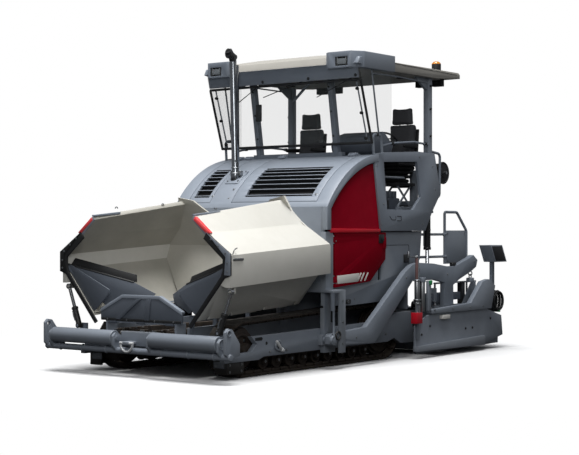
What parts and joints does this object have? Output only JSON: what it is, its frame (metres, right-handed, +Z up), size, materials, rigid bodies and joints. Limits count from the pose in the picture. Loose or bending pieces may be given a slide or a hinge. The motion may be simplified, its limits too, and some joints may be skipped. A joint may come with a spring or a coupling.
{
  "type": "tracked asphalt paver",
  "caption": "Tracked asphalt paver with folding hopper wings, push rollers, curved louvred hood, roofed operator platform, tow arms, augers and an extending screed.",
  "frame": {"origin": "on the ground, in the middle of the length and width", "axes": "+X forward to the push rollers, +Y to the left side, +Z up"},
  "size_m": [6.2989, 2.824, 3.9025],
  "materials": {
    "blue_grey_paint": "satin",
    "cream_paint": "satin",
    "red_paint": "gloss",
    "black_steel": "satin",
    "track_steel": "worn",
    "rubber": "matte",
    "chrome": "polished",
    "seat_cloth": "matte",
    "black_plastic": "matte",
    "glass": "clear",
    "amber": "gloss",
    "engine_iron": "painted"
  },
  "bodies": {
    "tractor": {"main_frame": "blue_grey_paint", "side_beams": "blue_grey_paint", "front_skirts": "black_steel", "track_left": "track_steel", "track_right": "track_steel", "undercarriage": "track_steel", "conveyor": "track_steel", "engine_block": "engine_iron", "body_sides": "blue_grey_paint", "hood_shell": "blue_grey_paint", "exhaust_stack": "chrome", "side_panels": "red_paint", "platform": "blue_grey_paint", "seat_bases": "black_plastic", "seat_left": "seat_cloth", "seat_right": "seat_cloth", "console": "blue_grey_paint", "handrails": "blue_grey_paint", "canopy_posts": "blue_grey_paint", "canopy_roof": "blue_grey_paint", "canopy_glass": "glass", "beacon": "amber", "reel_bracket": "blue_grey_paint", "rear_guard": "blue_grey_paint", "tow_columns": "blue_grey_paint", "auger_case": "track_steel"},
    "push_beam": {"push_beam": "blue_grey_paint"},
    "push_roller_left": {"push_roller_left": "blue_grey_paint"},
    "push_roller_right": {"push_roller_right": "blue_grey_paint"},
    "wing_left": {"hopper_wing_left": "cream_paint", "wing_seal_left": "rubber", "wing_corner_plate_left": "blue_grey_paint"},
    "wing_barrel_left": {"wing_barrel_left": "black_steel"},
    "wing_rod_left": {"wing_rod_left": "chrome"},
    "wing_right": {"hopper_wing_right": "cream_paint", "wing_seal_right": "rubber", "wing_corner_plate_right": "blue_grey_paint"},
    "wing_barrel_right": {"wing_barrel_right": "black_steel"},
    "wing_rod_right": {"wing_rod_right": "chrome"},
    "front_apron": {"front_apron": "blue_grey_paint"},
    "hood_lid_left": {"hood_lid_left": "blue_grey_paint"},
    "side_door_left": {"side_door_left": "red_paint"},
    "hood_lid_right": {"hood_lid_right": "blue_grey_paint"},
    "side_door_right": {"side_door_right": "red_paint"},
    "screed": {"tow_arms": "blue_grey_paint", "screed_main": "blue_grey_paint"},
    "extension_left": {"screed_extension_left": "blue_grey_paint", "control_stand_left": "blue_grey_paint"},
    "auger_left": {"auger_left": "track_steel"},
    "extension_right": {"screed_extension_right": "blue_grey_paint", "control_stand_right": "blue_grey_paint"},
    "auger_right": {"auger_right": "track_steel"},
    "lift_barrels": {"lift_barrels": "black_steel"},
    "lift_rods": {"lift_rods": "chrome"},
    "hose_reel": {"hose_reel": "black_plastic"}
  },
  "joints": [
    {"name": "push_beam_swing", "type": "hinge", "parent": "tractor", "child": "push_beam", "pos_m": [2.85, 0, 0.38], "axis": [0, 0, 1], "range_deg": [-2, 2]},
    {"name": "push_roller_spin_left", "type": "hinge", "parent": "push_beam", "child": "push_roller_left", "pos_m": [3.064, 0.76, 0.428], "axis": [0, 1, 0], "continuous": true},
    {"name": "push_roller_spin_right", "type": "hinge", "parent": "push_beam", "child": "push_roller_right", "pos_m": [3.064, -0.76, 0.428], "axis": [0, 1, 0], "continuous": true},
    {"name": "wing_hinge_left", "type": "hinge", "parent": "tractor", "child": "wing_left", "pos_m": [2, 0.775, 0.72236], "axis": [-0.9982, 0, 0.0593], "range_deg": [0, 22]},
    {"name": "wing_barrel_pivot_left", "type": "hinge", "parent": "tractor", "child": "wing_barrel_left", "pos_m": [2.85, 1.06, 0.525], "axis": [-1, 0, 0], "range_deg": [0, 23.43]},
    {"name": "wing_rod_slide_left", "type": "slide", "parent": "wing_barrel_left", "child": "wing_rod_left", "axis": [0, -0.3443, -0.9389], "range_m": [0, 0.123]},
    {"name": "wing_hinge_right", "type": "hinge", "parent": "tractor", "child": "wing_right", "pos_m": [2, -0.775, 0.72236], "axis": [0.9982, 0, -0.0593], "range_deg": [0, 22]},
    {"name": "wing_barrel_pivot_right", "type": "hinge", "parent": "tractor", "child": "wing_barrel_right", "pos_m": [2.85, -1.06, 0.525], "axis": [1, 0, 0], "range_deg": [0, 23.43]},
    {"name": "wing_rod_slide_right", "type": "slide", "parent": "wing_barrel_right", "child": "wing_rod_right", "axis": [0, 0.3443, -0.9389], "range_m": [0, 0.123]},
    {"name": "front_apron_hinge", "type": "hinge", "parent": "tractor", "child": "front_apron", "pos_m": [2.935, 0, 0.6], "axis": [0, 1, 0], "range_deg": [0, 80]},
    {"name": "hood_lid_hinge_left", "type": "hinge", "parent": "tractor", "child": "hood_lid_left", "pos_m": [0.084, 0.4, 2.572], "axis": [0, -1, 0], "range_deg": [0, 55]},
    {"name": "hood_lid_hinge_right", "type": "hinge", "parent": "tractor", "child": "hood_lid_right", "pos_m": [0.084, -0.4, 2.572], "axis": [0, -1, 0], "range_deg": [0, 55]},
    {"name": "side_door_hinge_left", "type": "hinge", "parent": "tractor", "child": "side_door_left", "pos_m": [0.872, 1.16, 1.3], "axis": [0, 0, -1], "range_deg": [0, 90]},
    {"name": "side_door_hinge_right", "type": "hinge", "parent": "tractor", "child": "side_door_right", "pos_m": [0.872, -1.16, 1.3], "axis": [0, 0, 1], "range_deg": [0, 90]},
    {"name": "screed_lift", "type": "hinge", "parent": "tractor", "child": "screed", "pos_m": [1.05, 0, 0.345], "axis": [0, 1, 0], "range_deg": [0, 4]},
    {"name": "lift_barrel_pivot", "type": "hinge", "parent": "tractor", "child": "lift_barrels", "pos_m": [-1.32, 0, 1.96], "axis": [0, -1, 0], "range_deg": [0, 5.15]},
    {"name": "lift_rod_slide", "type": "slide", "parent": "lift_barrels", "child": "lift_rods", "axis": [0, 0, 1], "range_m": [0, 0.1618]},
    {"name": "extension_slide_left", "type": "slide", "parent": "screed", "child": "extension_left", "axis": [0, 1, 0], "range_m": [0, 0.9]},
    {"name": "extension_slide_right", "type": "slide", "parent": "screed", "child": "extension_right", "axis": [0, -1, 0], "range_m": [0, 0.9]},
    {"name": "auger_spin_left", "type": "hinge", "parent": "tractor", "child": "auger_left", "pos_m": [-1.11, 0.565, 0.395], "axis": [0, 1, 0], "continuous": true},
    {"name": "auger_spin_right", "type": "hinge", "parent": "tractor", "child": "auger_right", "pos_m": [-1.11, -0.565, 0.395], "axis": [0, 1, 0], "continuous": true},
    {"name": "hose_reel_spin", "type": "hinge", "parent": "tractor", "child": "hose_reel", "pos_m": [-1.765, 0.96, 2.385], "axis": [0, 1, 0], "continuous": true}
  ],
  "couplings": [
    {"joint": "wing_barrel_pivot_left", "follows": "wing_hinge_left", "ratio": 1.0603},
    {"joint": "wing_rod_slide_left", "follows": "wing_hinge_left", "m_per_rad": 0.31767},
    {"joint": "wing_barrel_pivot_right", "follows": "wing_hinge_right", "ratio": 1.0603},
    {"joint": "wing_rod_slide_right", "follows": "wing_hinge_right", "m_per_rad": 0.31767},
    {"joint": "lift_barrel_pivot", "follows": "screed_lift", "ratio": 1.2635},
    {"joint": "lift_rod_slide", "follows": "screed_lift", "m_per_rad": 2.3032}
  ]
}
